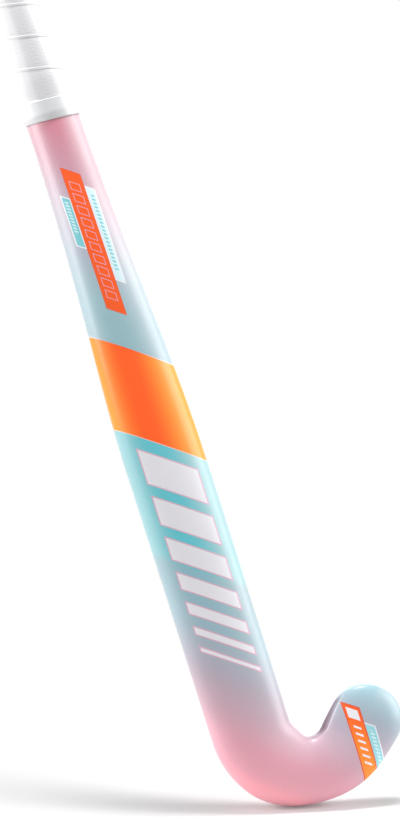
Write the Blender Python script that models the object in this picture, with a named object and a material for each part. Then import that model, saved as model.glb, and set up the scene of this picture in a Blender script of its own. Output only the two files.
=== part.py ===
"""Indoor hockey stick: a hollow composite shaft with a hooked head, a bow and a wound grip.

The stick is upright, head down. +X points to the toe, +Y out of the flat playing face and -Y out
of the rounded back. Everything is laid out as a straight stick that stands on z = 0 with its
playing face in the plane y = 0. place() then adds the bow along Y, and moves the origin to the
middle of the handle where the upper hand holds it.
"""

import math

import bmesh
import bpy
import numpy as np

# Lengths up the stick, in metres above the sole
OVERALL_LENGTH = 0.762
HOLD_BELOW_BUTT = 0.100
COLLAR_HEIGHT = 0.4350
TAPER_START = 0.222
HANDLE_START = 0.500

# Widths across the stick and depths from the playing face to the back
HANDLE_WIDTH = 0.0270
HANDLE_DEPTH = 0.0240
COLLAR_WIDTH = 0.0320
COLLAR_DEPTH = 0.0235
SHAFT_WIDTH = 0.0474
SHAFT_DEPTH = 0.0205
SOLE_WIDTH = 0.0395
SOLE_DEPTH = 0.0190
TOE_WIDTH = 0.0436
TOE_DEPTH = 0.0165

# The hooked head, along its centreline
HOOK_RADIUS = 0.0342
HOOK_SWEEP = math.radians(132)
HEEL_SWEEP = math.radians(38)
TOE_RUN = 0.0146

# The D-shaped section: a flat face with rounded edges and a domed back
FACE_FILLET = 0.0040
LEAST_FILLET = 0.0005
EDGE_DEPTH = 0.0075
BACK_FULLNESS = 2.3

# Chamfer on the toe's inner edge: narrow at the toe's end, broadest in the throat
TOE_CHAMFER = 0.0016
THROAT_CHAMFER = 0.0045
BROADEST_CHAMFER_RUN = 0.0220

# The bow: how far the face stands off a table that it is laid on, and where it bends
BOW = 0.0220
BOW_LOWER_END = 0.120
BOW_UPPER_END = 0.420

# Inside the laminate
WALL = 0.0025
TUBE_WALL = 0.0012
CORE_HEIGHT = 0.110
PLUG_LENGTH = 0.040
CLEARANCE = 0.0003

# Butt cap
CAP_THICKNESS = 0.0040
CAP_FILLET = 0.0015
SPIGOT_LENGTH = 0.0120

# Grip: one strip of cushioned tape wound down the handle, and the tape that finishes it
GRIP_THICKNESS = 0.0015
GRIP_PITCH = 0.0200
GRIP_TURN_GAP = 0.0006
GRIP_EDGE = 0.0005
GRIP_TAIL = 0.0049
GRIP_TAPER = 0.0200
GRIP_LEAST = 0.0005
FINISH_THICKNESS = 0.0005
FINISH_WIDTH = 0.0170
FINISH_SLANT = math.radians(4)
FINISH_LAP = 0.0035

# Facets
BACK_STEPS = 6
CHAMFER_STEPS = 2
FILLET_STEPS = 3
HOOK_STEPS = 24
TOE_RUN_STEPS = 3
TOE_TURN_STEPS = 16
SHAFT_STEP = 0.026
STEPS_PER_TURN = 24

HOOK_HEIGHT = HOOK_RADIUS + SOLE_WIDTH / 2
HOOK_LENGTH = HOOK_RADIUS * HOOK_SWEEP
SHELL_TOP = OVERALL_LENGTH - CAP_THICKNESS - CLEARANCE
HOOK_END = TOE_RUN + HOOK_LENGTH


def ease(t):
    """Smooth step from 0 to 1."""
    t = min(max(t, 0.0), 1.0)
    return t * t * (3 - 2 * t)


def run_at(height):
    """Distance along the centreline, from the toe, of a height on the straight shaft."""
    return HOOK_END + height - HOOK_HEIGHT


def height_at(run):
    return run - HOOK_END + HOOK_HEIGHT


def graded(stations, run):
    """Value at a distance along the centreline, eased between (distance, value) stations."""
    for (low, a), (high, b) in zip(stations, stations[1:]):
        if run <= high:
            return a + (b - a) * ease((run - low) / (high - low))
    return stations[-1][1]


SOLE_RUN = HOOK_END - HOOK_RADIUS * math.pi / 2
HEEL_RUN = HOOK_END - HOOK_RADIUS * HEEL_SWEEP
HALF_WIDTHS = [
    (0.0, TOE_WIDTH / 2),
    (SOLE_RUN, SOLE_WIDTH / 2),
    (HEEL_RUN, SHAFT_WIDTH / 2),
    (run_at(TAPER_START), SHAFT_WIDTH / 2),
    (run_at(COLLAR_HEIGHT), COLLAR_WIDTH / 2),
    (run_at(HANDLE_START), HANDLE_WIDTH / 2),
]
DEPTHS = [
    (0.0, TOE_DEPTH),
    (SOLE_RUN, SOLE_DEPTH),
    (run_at(TAPER_START), SHAFT_DEPTH),
    (run_at(COLLAR_HEIGHT), COLLAR_DEPTH),
    (run_at(HANDLE_START), HANDLE_DEPTH),
]


def half_width(run):
    return graded(HALF_WIDTHS, run)


def depth(run):
    return graded(DEPTHS, run)


def roundness(run):
    """0 where the section is D-shaped, 1 where it is the handle's oval."""
    return ease((run - run_at(TAPER_START)) / (COLLAR_HEIGHT - TAPER_START))


def face_rise(run):
    """How far the front of the section stands proud of the playing face's plane."""
    return max(depth(run) - SHAFT_DEPTH, 0.0) / 2 * roundness(run)


def centreline(run):
    """Point (x, z) and the unit vector across to the heel side."""
    if run >= HOOK_END:
        return (0.0, height_at(run)), (-1.0, 0.0)
    sweep = min((HOOK_END - run) / HOOK_RADIUS, HOOK_SWEEP)
    angle = math.pi + sweep
    across = (math.cos(angle), math.sin(angle))
    x = HOOK_RADIUS + HOOK_RADIUS * across[0]
    z = HOOK_HEIGHT + HOOK_RADIUS * across[1]
    past = max(TOE_RUN - run, 0.0)
    return (x - past * across[1], z + past * across[0]), across


def bow_curve(height, top):
    """A stick bent evenly between the bow's two ends, laid with its face on a table."""
    bend = BOW_UPPER_END - BOW_LOWER_END

    def lift(z):
        bent = min(max(z - BOW_LOWER_END, 0.0), bend)
        return bent * bent / 2 + bend * max(z - BOW_UPPER_END, 0.0)

    lean = lift(top) / top
    deepest = lean * (BOW_LOWER_END + lean) - lean * lean / 2
    return BOW * (lift(height) - lean * height) / deepest


def handle_middle(height):
    """How far behind the playing face's plane the middle of the handle lies."""
    run = run_at(height)
    return depth(run) / 2 - face_rise(run)


HOLD_HEIGHT = OVERALL_LENGTH - HOLD_BELOW_BUTT
HOLD_FORWARD = bow_curve(HOLD_HEIGHT, OVERALL_LENGTH) - handle_middle(HOLD_HEIGHT)


def place(x, z, y):
    """Puts a point of the straight stick on the bowed one, seen from the hold."""
    return (x, y + bow_curve(z, OVERALL_LENGTH) - HOLD_FORWARD, z - HOLD_HEIGHT)


def dome(back, share):
    """Depth of the domed back at a share of the half width."""
    return EDGE_DEPTH + (back - EDGE_DEPTH) * (1 - share ** BACK_FULLNESS) ** (1 / BACK_FULLNESS)


def d_profile(half, deep, inset, chamfer):
    """Half of the D section, from the middle of the back round the edge to the face."""
    half -= inset
    back = deep - inset
    fillet = max(FACE_FILLET - inset, LEAST_FILLET)
    strength, width = chamfer
    crease = 1 - width / half
    crown_steps = BACK_STEPS - CHAMFER_STEPS
    points = []
    for step in range(BACK_STEPS + 1):
        turn = step / BACK_STEPS * math.pi / 2
        x = half * math.sin(turn) ** (2 / BACK_FULLNESS)
        y = dome(back, x / half)
        cut_share = min(step / crown_steps, 1.0) * crease
        cut_depth = dome(back, cut_share)
        along = max(step - crown_steps, 0) / CHAMFER_STEPS
        cut_share += (1 - crease) * along
        cut_depth += (EDGE_DEPTH - cut_depth) * along
        points.append((x + (half * cut_share - x) * strength, y + (cut_depth - y) * strength))
    for step in range(FILLET_STEPS + 1):
        turn = step / FILLET_STEPS * math.pi / 2
        points.append((half - fillet * (1 - math.cos(turn)),
                       inset + fillet * (1 - math.sin(turn))))
    points.append((0.0, inset))
    return points


def oval_profile(half, deep, inset, count):
    """Half of the handle's oval, with as many points as the D section has."""
    turns = [step / (count - 1) * math.pi for step in range(count)]
    radius = deep / 2 - inset
    return [((half - inset) * math.sin(turn), deep / 2 + radius * math.cos(turn))
            for turn in turns]


def half_section(run, inset, chamfer=(0.0, THROAT_CHAMFER)):
    """(across, depth behind the face's plane) of half a section, from back to face."""
    half, deep, rounded = half_width(run), depth(run), roundness(run)
    flat = d_profile(half, deep, inset, chamfer)
    oval = oval_profile(half, deep, inset, len(flat))
    rise = face_rise(run)
    return [(a + (c - a) * rounded, b + (d - b) * rounded - rise)
            for (a, b), (c, d) in zip(flat, oval)]


def throat_chamfer(run):
    """Strength and width of the toe's chamfer, which fades out past its broadest place."""
    strength = 1 - ease((run - BROADEST_CHAMFER_RUN) / (SOLE_RUN - BROADEST_CHAMFER_RUN))
    width = graded([(0.0, TOE_CHAMFER), (BROADEST_CHAMFER_RUN, THROAT_CHAMFER)], run)
    return strength, width


def section_ring(run, inset):
    """Closed ring of points: back, heel side, face, toe side."""
    (x, z), (ax, az) = centreline(run)
    heel = half_section(run, inset)
    toe = half_section(run, inset, throat_chamfer(run))
    ring = [place(x + ax * u, z + az * u, -v) for u, v in heel]
    ring += [place(x - ax * u, z - az * u, -v) for u, v in reversed(toe[1:-1])]
    return ring


def toe_columns(inset):
    """Half sections swung round the toe's end, from its heel side to its inner side."""
    (x, z), (ax, az) = centreline(0.0)
    outer = half_section(0.0, inset)
    inner = half_section(0.0, inset, throat_chamfer(0.0))
    columns = []
    for step in range(1, TOE_TURN_STEPS):
        share = step / TOE_TURN_STEPS
        turn = share * math.pi
        dx = ax * math.cos(turn) - az * math.sin(turn)
        dz = az * math.cos(turn) + ax * math.sin(turn)
        column = [(a + (c - a) * share, b + (d - b) * share)
                  for (a, b), (c, d) in zip(outer, inner)]
        columns.append([place(x + dx * u, z + dz * u, -v) for u, v in column[1:-1]])
    return columns


def head_runs():
    """Distances along the centreline that describe the head."""
    toe = [TOE_RUN * step / TOE_RUN_STEPS for step in range(TOE_RUN_STEPS)]
    hook = [TOE_RUN + HOOK_LENGTH * step / HOOK_STEPS for step in range(HOOK_STEPS + 1)]
    return toe + hook


def shaft_runs(low, high):
    """Distances along the straight shaft between two heights, both included."""
    count = max(round((high - low) / SHAFT_STEP), 1)
    return [run_at(low + (high - low) * step / count) for step in range(count + 1)]


def add_ring(mesh, points):
    return [mesh.verts.new(point) for point in points]


def bridge(mesh, first, second):
    """Quads between two closed rings with the same number of vertices."""
    count = len(first)
    for i in range(count):
        j = (i + 1) % count
        mesh.faces.new((first[i], first[j], second[j], second[i]))


def close_toe(mesh, ring, columns):
    """Closes the toe: the ring's two halves are joined by the columns between them."""
    half = len(ring) // 2
    back, face = ring[0], ring[half]
    sides = [ring[1:half]]
    sides += [add_ring(mesh, column) for column in columns]
    sides.append(ring[:half:-1])
    for near, far in zip(sides, sides[1:]):
        mesh.faces.new((back, far[0], near[0]))
        mesh.faces.new((face, near[-1], far[-1]))
        for a, b, c, d in zip(near, near[1:], far[1:], far):
            mesh.faces.new((a, d, c, b))


def stick_skin(mesh, inset, top):
    """Surface of the stick, offset inwards by inset, from the toe up to a height."""
    rings = [add_ring(mesh, section_ring(run, inset))
             for run in head_runs() + shaft_runs(HOOK_HEIGHT, top)[1:]]
    for low, high in zip(rings, rings[1:]):
        bridge(mesh, low, high)
    close_toe(mesh, rings[0], toe_columns(inset))
    return rings[-1]


def finish_object(name, mesh, material, sharp=40):
    """Turns a bmesh into a named object, faces outwards and round parts shaded smooth."""
    bmesh.ops.recalc_face_normals(mesh, faces=mesh.faces)
    data = bpy.data.meshes.new(name)
    mesh.to_mesh(data)
    mesh.free()
    data.shade_smooth()
    data.set_sharp_from_angle(angle=math.radians(sharp))
    data.materials.append(material)
    part = bpy.data.objects.new(name, data)
    parts.objects.link(part)
    return part


def finish(name, colour, roughness_value, metallic=0.0):
    """Plain Principled material."""
    material = bpy.data.materials.new(name)
    material.use_nodes = True
    shader = material.node_tree.nodes["Principled BSDF"]
    shader.inputs["Base Color"].default_value = (*colour, 1.0)
    shader.inputs["Roughness"].default_value = roughness_value
    shader.inputs["Metallic"].default_value = metallic
    return material


def make_outer_shell():
    """Painted laminate shaft and head, hollow and open at the top of the handle."""
    mesh = bmesh.new()
    outside = stick_skin(mesh, 0.0, SHELL_TOP)
    inside = stick_skin(mesh, WALL, SHELL_TOP)
    bridge(mesh, outside, inside)
    return finish_object("outer_shell", mesh, finish("paint", (0.78, 0.55, 0.62), 0.30))


def make_head_core(foam):
    """Foam core that fills the hollow of the head."""
    mesh = bmesh.new()
    mesh.faces.new(stick_skin(mesh, WALL + CLEARANCE, CORE_HEIGHT))
    return finish_object("head_core", mesh, foam)


def tube_ring(run, side, inset, web):
    """Ring of half a section, closed by a straight web beside the stick's middle plane."""
    (x, z), _ = centreline(run)
    points = half_section(run, inset)
    return [place(x + side * max(u, web), z, -v) for u, v in points]


def make_inner_tube(name, side, laminate):
    """One of the two tubes side by side in the shaft; their flat sides make its rib."""
    mesh = bmesh.new()
    plug_bottom = SHELL_TOP - SPIGOT_LENGTH - CLEARANCE - PLUG_LENGTH
    runs = shaft_runs(CORE_HEIGHT + CLEARANCE, plug_bottom - CLEARANCE)
    inset = WALL + CLEARANCE
    web = CLEARANCE / 2
    outside = [add_ring(mesh, tube_ring(run, side, inset, web)) for run in runs]
    inside = [add_ring(mesh, tube_ring(run, side, inset + TUBE_WALL, web + TUBE_WALL))
              for run in runs]
    for rings in (outside, inside):
        for low, high in zip(rings, rings[1:]):
            bridge(mesh, low, high)
    bridge(mesh, outside[0], inside[0])
    bridge(mesh, outside[-1], inside[-1])
    return finish_object(name, mesh, laminate)


def oval_ring(height, grow, count=STEPS_PER_TURN):
    """Ring round the handle, offset outwards by grow from the bare laminate."""
    return [handle_point(step / count * 2 * math.pi, height, grow) for step in range(count)]


def handle_point(turn, height, grow):
    """Point round the handle: turn 0 is the middle of the back, a quarter turn the toe side."""
    run = run_at(height)
    across = (half_width(run) + grow) * math.sin(turn)
    back = handle_middle(height) + (depth(run) / 2 + grow) * math.cos(turn)
    return place(across, height, -back)


def stack(mesh, rings):
    """Closed solid through a stack of (height, grow) ovals."""
    made = [add_ring(mesh, oval_ring(height, grow)) for height, grow in rings]
    for low, high in zip(made, made[1:]):
        bridge(mesh, low, high)
    mesh.faces.new(made[0])
    mesh.faces.new(made[-1])


def make_handle_plug(foam):
    """Foam plug that closes the top of the hollow under the cap."""
    mesh = bmesh.new()
    top = SHELL_TOP - SPIGOT_LENGTH - CLEARANCE
    snug = -WALL - CLEARANCE
    stack(mesh, [(top - PLUG_LENGTH, snug), (top, snug)])
    return finish_object("handle_plug", mesh, foam)


def make_butt_cap():
    """Cap whose spigot sits in the shaft and whose flange covers the grip's end."""
    mesh = bmesh.new()
    snug = -WALL - CLEARANCE
    wide = CLEARANCE + GRIP_THICKNESS
    under = OVERALL_LENGTH - CAP_THICKNESS
    rings = [(under - SPIGOT_LENGTH, snug), (under, snug), (under, wide)]
    for step in range(FILLET_STEPS + 1):
        turn = step / FILLET_STEPS * math.pi / 2
        rings.append((OVERALL_LENGTH - CAP_FILLET * (1 - math.sin(turn)),
                      wide - CAP_FILLET * (1 - math.cos(turn))))
    stack(mesh, rings)
    return finish_object("butt_cap", mesh, finish("cap", (0.88, 0.88, 0.88), 0.50))


def grip_bottom():
    """The grip ends just above the finishing tape's slanted lower edge."""
    return COLLAR_HEIGHT + COLLAR_WIDTH / 2 * math.tan(FINISH_SLANT) + FINISH_LAP


def grip_growth(height):
    """How far the grip's outer side stands off the laminate: its lower end is cut thin."""
    share = min(max((height - grip_bottom()) / GRIP_TAPER, 0.0), 1.0)
    return CLEARANCE + GRIP_LEAST + (GRIP_THICKNESS - GRIP_LEAST) * share


def grip_shoulder(height):
    """The strip's edges are rounded off down to here."""
    outer = grip_growth(height)
    return outer - min(GRIP_EDGE, (outer - CLEARANCE) / 2)


def strip_section(turn, low, high):
    """Six corners of the grip tape's section at one place on its helix."""
    edge = min(GRIP_EDGE, (high - low) / 4)
    corners = [(low, CLEARANCE), (high, CLEARANCE), (high, grip_shoulder(high)),
               (high - edge, grip_growth(high - edge)), (low + edge, grip_growth(low + edge)),
               (low, grip_shoulder(low))]
    return [handle_point(turn, height, grow) for height, grow in corners]


def make_grip_tape():
    """One strip wound down the handle without a break, cut level at its two ends."""
    mesh = bmesh.new()
    width = GRIP_PITCH - GRIP_TURN_GAP
    top, bottom = SHELL_TOP, grip_bottom()
    start = top - GRIP_TAIL + width / 2
    end = bottom + GRIP_TAIL - width / 2
    steps = round((start - end) / GRIP_PITCH * STEPS_PER_TURN)
    sections = []
    for step in range(steps + 1):
        middle = start + (end - start) * step / steps
        turn = (start - middle) / GRIP_PITCH * 2 * math.pi
        low, high = max(middle - width / 2, bottom), min(middle + width / 2, top)
        sections.append(strip_section(turn, low, high))
    rings = [add_ring(mesh, section) for section in sections]
    for near, far in zip(rings, rings[1:]):
        bridge(mesh, near, far)
    mesh.faces.new(rings[0])
    mesh.faces.new(rings[-1])
    print(f"grip tape: {steps / STEPS_PER_TURN:.1f} turns,"
          f" least gap to itself {least_gap(sections) * 1000:.2f} mm")
    return finish_object("grip_tape", mesh, finish("grip", (0.90, 0.90, 0.90), 0.60))


def least_gap(sections):
    """Least distance between points of the strip that are more than half a turn apart."""
    points = np.array(sections)
    apart = STEPS_PER_TURN // 2
    best = math.inf
    for index, section in enumerate(points[:-apart]):
        others = points[index + apart:index + 2 * STEPS_PER_TURN].reshape(-1, 3)
        between = np.linalg.norm(section[:, None, :] - others[None, :, :], axis=2)
        best = min(best, between.min())
    return best


def make_finishing_tape():
    """Thin tape over the grip's lower end, from the paint up a smooth slope, with slanted edges."""
    mesh = bmesh.new()
    slope = math.tan(FINISH_SLANT)

    def ring(height, slanted, on_grip, thickness):
        points = []
        for step in range(STEPS_PER_TURN):
            turn = step / STEPS_PER_TURN * 2 * math.pi
            level = height - COLLAR_WIDTH / 2 * math.sin(turn) * slope * slanted
            under = grip_growth(level) + CLEARANCE if on_grip else CLEARANCE
            points.append(handle_point(turn, level, under + thickness))
        return add_ring(mesh, points)

    below_grip = grip_bottom() - CLEARANCE
    top = COLLAR_HEIGHT + FINISH_WIDTH
    sides = [[ring(COLLAR_HEIGHT, 1, False, thickness), ring(below_grip, 0, True, thickness),
              ring(top, 1, True, thickness)] for thickness in (0.0, FINISH_THICKNESS)]
    for rings in sides:
        for low, high in zip(rings, rings[1:]):
            bridge(mesh, low, high)
    inside, outside = sides
    bridge(mesh, inside[0], outside[0])
    bridge(mesh, inside[-1], outside[-1])
    return finish_object("finishing_tape", mesh, finish("tape", (0.93, 0.93, 0.93), 0.35))


for leftover in list(bpy.data.objects):
    bpy.data.objects.remove(leftover)
parts = bpy.data.collections.new("indoor_hockey_stick")
bpy.context.scene.collection.children.link(parts)

foam = finish("foam", (0.86, 0.78, 0.58), 0.90)
laminate = finish("laminate", (0.05, 0.05, 0.055), 0.45)

make_outer_shell()
make_head_core(foam)
make_inner_tube("inner_tube_heel_side", -1, laminate)
make_inner_tube("inner_tube_toe_side", 1, laminate)
make_handle_plug(foam)
make_butt_cap()
make_grip_tape()
make_finishing_tape()
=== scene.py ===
"""Looks of the indoor hockey stick: painted shell, wound grip, finishing tape and butt cap.

The shell and the tapes follow the sizes of the solid model, in finer steps. Lengths are in metres.
Heights are measured up the stick from its sole, and the playing face of the straight stick is the
plane y = 0. The printed patterns are laid out on the stick by width and height.
"""

import math

import bmesh
import bpy
from mathutils import Matrix, Vector


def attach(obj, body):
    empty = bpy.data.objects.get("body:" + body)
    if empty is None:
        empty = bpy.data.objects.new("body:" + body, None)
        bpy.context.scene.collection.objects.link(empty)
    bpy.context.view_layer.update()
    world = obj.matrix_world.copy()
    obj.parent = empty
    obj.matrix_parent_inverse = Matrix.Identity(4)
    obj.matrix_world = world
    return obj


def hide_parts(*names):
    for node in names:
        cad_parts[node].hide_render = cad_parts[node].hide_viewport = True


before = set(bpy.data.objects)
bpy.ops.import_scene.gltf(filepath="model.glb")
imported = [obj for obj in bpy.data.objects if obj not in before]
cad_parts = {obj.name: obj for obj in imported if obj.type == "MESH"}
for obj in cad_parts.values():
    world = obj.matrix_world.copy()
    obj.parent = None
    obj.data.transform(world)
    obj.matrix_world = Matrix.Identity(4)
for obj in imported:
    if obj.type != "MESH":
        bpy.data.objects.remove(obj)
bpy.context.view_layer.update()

# View of the photograph: the stick leans in it, so the camera and the floor share its tilt
VIEW_AZIMUTH = math.radians(-8)
VIEW_ROLL = math.radians(18.27)
VIEW_HEIGHT = 0.48463
VIEW_AIM = Vector((0.02985, -0.01000, -0.41650))
CAMERA_DISTANCE = 4.0

VIEW_BACK = Vector((math.sin(VIEW_AZIMUTH), -math.cos(VIEW_AZIMUTH), 0.0))
VIEW_LEVEL = Vector((math.cos(VIEW_AZIMUTH), math.sin(VIEW_AZIMUTH), 0.0))
VIEW_RIGHT = VIEW_LEVEL * math.cos(VIEW_ROLL) - Vector((0.0, 0.0, math.sin(VIEW_ROLL)))
VIEW_UP = VIEW_LEVEL * math.sin(VIEW_ROLL) + Vector((0.0, 0.0, math.cos(VIEW_ROLL)))

# Sizes up the stick and across it
OVERALL_LENGTH = 0.762
HOLD_BELOW_BUTT = 0.100
COLLAR_HEIGHT = 0.4350
TAPER_START = 0.222
HANDLE_START = 0.500
HANDLE_WIDTH, HANDLE_DEPTH = 0.0270, 0.0240
COLLAR_WIDTH, COLLAR_DEPTH = 0.0320, 0.0235
SHAFT_WIDTH, SHAFT_DEPTH = 0.0474, 0.0205
SOLE_WIDTH, SOLE_DEPTH = 0.0395, 0.0190
TOE_WIDTH, TOE_DEPTH = 0.0436, 0.0165

# Hooked head
HOOK_RADIUS = 0.0342
HOOK_SWEEP = math.radians(132)
HEEL_SWEEP = math.radians(38)
TOE_RUN = 0.0146

# Section: a flat face with rounded edges and a domed back
FACE_FILLET = 0.0040
LEAST_FILLET = 0.0005
EDGE_DEPTH = 0.0075
BACK_FULLNESS = 2.3

# Chamfer on the toe's inner edge: narrow at the toe's end, broadest in the throat
TOE_CHAMFER = 0.0012
THROAT_CHAMFER = 0.0032
BROADEST_CHAMFER_RUN = 0.0220

# Bow
BOW = 0.0220
BOW_LOWER_END = 0.120
BOW_UPPER_END = 0.420

# Wall, cap and tapes
WALL = 0.0025
CLEARANCE = 0.0003
CAP_THICKNESS = 0.0040
CAP_FILLET = 0.0015
CAP_RIM = 0.0022
DISH_DEPTH, DISH_SLOPE, DISH_FLAT = 0.0005, 0.0010, 0.0050
SPIGOT_LENGTH = 0.0120
GRIP_THICKNESS = 0.0015
GRIP_PITCH = 0.0200
GRIP_OVERLAP = 0.0017
GRIP_BEAD = 0.00012
GRIP_PILLOW = 0.00012
PILLOW_POWER = 4
GRIP_SKIVE = 0.0006
SKIVED_TIP = 0.7 * GRIP_SKIVE
GRIP_EDGE = 0.00014
FIRST_SEAM_DROP = 0.0124
GRIP_END = 0.0015
GRIP_TAPER = 0.0200
GRIP_LEAST = 0.0005
FINISH_THICKNESS = 0.0004
FINISH_WIDTH = 0.0125
FINISH_SLANT = math.radians(4)
FINISH_LAP = 0.0035
PAINT_GAP = 0.0001

# Steps of the fine meshes, and the least turn of an edge that stays sharp
BACK_STEPS = 24
CHAMFER_STEPS = 6
CREASE_CROWDING = 1.7
FILLET_STEPS = 8
FACE_STEPS = 4
HOOK_STEPS = 90
TOE_RUN_STEPS = 12
TOE_TURN_STEPS = 56
SHAFT_STEP = 0.004
TURN_STEPS = 72
CROWN_STEPS = 10
SLOPE_STEPS = 6
DISH_STEPS = 5
SHARP_ANGLE = math.radians(35)

HOOK_HEIGHT = HOOK_RADIUS + SOLE_WIDTH / 2
HOOK_LENGTH = HOOK_RADIUS * HOOK_SWEEP
HOOK_END = TOE_RUN + HOOK_LENGTH
SHELL_TOP = OVERALL_LENGTH - CAP_THICKNESS - CLEARANCE
HOLD_HEIGHT = OVERALL_LENGTH - HOLD_BELOW_BUTT


def ease(t):
    """Smooth step from 0 to 1."""
    t = min(max(t, 0.0), 1.0)
    return t * t * (3 - 2 * t)


def run_at(height):
    """Distance along the centreline, from the toe, of a height on the straight shaft."""
    return HOOK_END + height - HOOK_HEIGHT


def graded(stations, run):
    """Value at a distance along the centreline, eased between (distance, value) stations."""
    for (low, a), (high, b) in zip(stations, stations[1:]):
        if run <= high:
            return a + (b - a) * ease((run - low) / (high - low))
    return stations[-1][1]


SOLE_RUN = HOOK_END - HOOK_RADIUS * math.pi / 2
HEEL_RUN = HOOK_END - HOOK_RADIUS * HEEL_SWEEP
HALF_WIDTHS = [
    (0.0, TOE_WIDTH / 2),
    (SOLE_RUN, SOLE_WIDTH / 2),
    (HEEL_RUN, SHAFT_WIDTH / 2),
    (run_at(TAPER_START), SHAFT_WIDTH / 2),
    (run_at(COLLAR_HEIGHT), COLLAR_WIDTH / 2),
    (run_at(HANDLE_START), HANDLE_WIDTH / 2),
]
DEPTHS = [
    (0.0, TOE_DEPTH),
    (SOLE_RUN, SOLE_DEPTH),
    (run_at(TAPER_START), SHAFT_DEPTH),
    (run_at(COLLAR_HEIGHT), COLLAR_DEPTH),
    (run_at(HANDLE_START), HANDLE_DEPTH),
]


def half_width(run):
    return graded(HALF_WIDTHS, run)


def depth(run):
    return graded(DEPTHS, run)


def roundness(run):
    """0 where the section is D-shaped, 1 where it is the handle's oval."""
    return ease((run - run_at(TAPER_START)) / (COLLAR_HEIGHT - TAPER_START))


def face_rise(run):
    """How far the front of the section stands proud of the playing face's plane."""
    return max(depth(run) - SHAFT_DEPTH, 0.0) / 2 * roundness(run)


def centreline(run):
    """Point (x, z) and the unit vector across to the heel side."""
    if run >= HOOK_END:
        return (0.0, run - HOOK_END + HOOK_HEIGHT), (-1.0, 0.0)
    sweep = min((HOOK_END - run) / HOOK_RADIUS, HOOK_SWEEP)
    angle = math.pi + sweep
    across = (math.cos(angle), math.sin(angle))
    x = HOOK_RADIUS + HOOK_RADIUS * across[0]
    z = HOOK_HEIGHT + HOOK_RADIUS * across[1]
    past = max(TOE_RUN - run, 0.0)
    return (x - past * across[1], z + past * across[0]), across


def bow_curve(height):
    """Lift of a stick bent evenly between the bow's two ends, laid with its face on a table."""
    bend = BOW_UPPER_END - BOW_LOWER_END

    def lift(z):
        bent = min(max(z - BOW_LOWER_END, 0.0), bend)
        return bent * bent / 2 + bend * max(z - BOW_UPPER_END, 0.0)

    lean = lift(OVERALL_LENGTH) / OVERALL_LENGTH
    deepest = lean * (BOW_LOWER_END + lean) - lean * lean / 2
    return BOW * (lift(height) - lean * height) / deepest


def handle_middle(height):
    """How far behind the playing face's plane the middle of the handle lies."""
    run = run_at(height)
    return depth(run) / 2 - face_rise(run)


HOLD_FORWARD = bow_curve(HOLD_HEIGHT) - handle_middle(HOLD_HEIGHT)


def place(x, z, y):
    """Puts a point of the straight stick on the bowed one, seen from the hold."""
    return Vector((x, y + bow_curve(z) - HOLD_FORWARD, z - HOLD_HEIGHT))


def dome(back, share):
    """Depth of the domed back at a share of the half width."""
    return EDGE_DEPTH + (back - EDGE_DEPTH) * (1 - share ** BACK_FULLNESS) ** (1 / BACK_FULLNESS)


def d_profile(half, deep, inset, chamfer):
    """Half of the D section, from the middle of the back round the edge to the face.

    Where the section is chamfered, its points crowd towards the crease, which keeps it crisp.
    """
    half -= inset
    back = deep - inset
    fillet = max(FACE_FILLET - inset, LEAST_FILLET)
    strength, width = chamfer
    crease = 1 - width / half
    crown_steps = BACK_STEPS - CHAMFER_STEPS
    points = []
    for step in range(BACK_STEPS + 1):
        turn = step / BACK_STEPS * math.pi / 2
        x = half * math.sin(turn) ** (2 / BACK_FULLNESS)
        y = dome(back, x / half)
        cut_share = crease * (1 - (1 - min(step / crown_steps, 1.0)) ** CREASE_CROWDING)
        cut_depth = dome(back, cut_share)
        along = (max(step - crown_steps, 0) / CHAMFER_STEPS) ** CREASE_CROWDING
        cut_share += (1 - crease) * along
        cut_depth += (EDGE_DEPTH - cut_depth) * along
        points.append((x + (half * cut_share - x) * strength, y + (cut_depth - y) * strength))
    for step in range(FILLET_STEPS + 1):
        turn = step / FILLET_STEPS * math.pi / 2
        points.append((half - fillet * (1 - math.cos(turn)), inset + fillet * (1 - math.sin(turn))))
    for step in range(1, FACE_STEPS + 1):
        points.append(((half - fillet) * (1 - step / FACE_STEPS), inset))
    return points


def oval_profile(half, deep, inset, count):
    """Half of the handle's oval, with as many points as the D section has."""
    turns = [step / (count - 1) * math.pi for step in range(count)]
    radius = deep / 2 - inset
    return [((half - inset) * math.sin(turn), deep / 2 + radius * math.cos(turn)) for turn in turns]


def half_section(run, inset, chamfer=(0.0, THROAT_CHAMFER)):
    """(across, depth behind the face's plane) of half a section, from back to face."""
    half, deep, rounded = half_width(run), depth(run), roundness(run)
    flat = d_profile(half, deep, inset, chamfer)
    oval = oval_profile(half, deep, inset, len(flat))
    rise = face_rise(run)
    return [(a + (c - a) * rounded, b + (d - b) * rounded - rise)
            for (a, b), (c, d) in zip(flat, oval)]


def throat_chamfer(run):
    """Strength and width of the toe's chamfer, which fades out past its broadest place."""
    strength = 1 - ease((run - BROADEST_CHAMFER_RUN) / (SOLE_RUN - BROADEST_CHAMFER_RUN))
    width = graded([(0.0, TOE_CHAMFER), (BROADEST_CHAMFER_RUN, THROAT_CHAMFER)], run)
    return strength, width


def section_ring(run, inset):
    """Closed ring of points: back, heel side, face, toe side."""
    (x, z), (ax, az) = centreline(run)
    heel = half_section(run, inset)
    toe = half_section(run, inset, throat_chamfer(run))
    ring = [place(x + ax * u, z + az * u, -v) for u, v in heel]
    return ring + [place(x - ax * u, z - az * u, -v) for u, v in reversed(toe[1:-1])]


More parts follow.
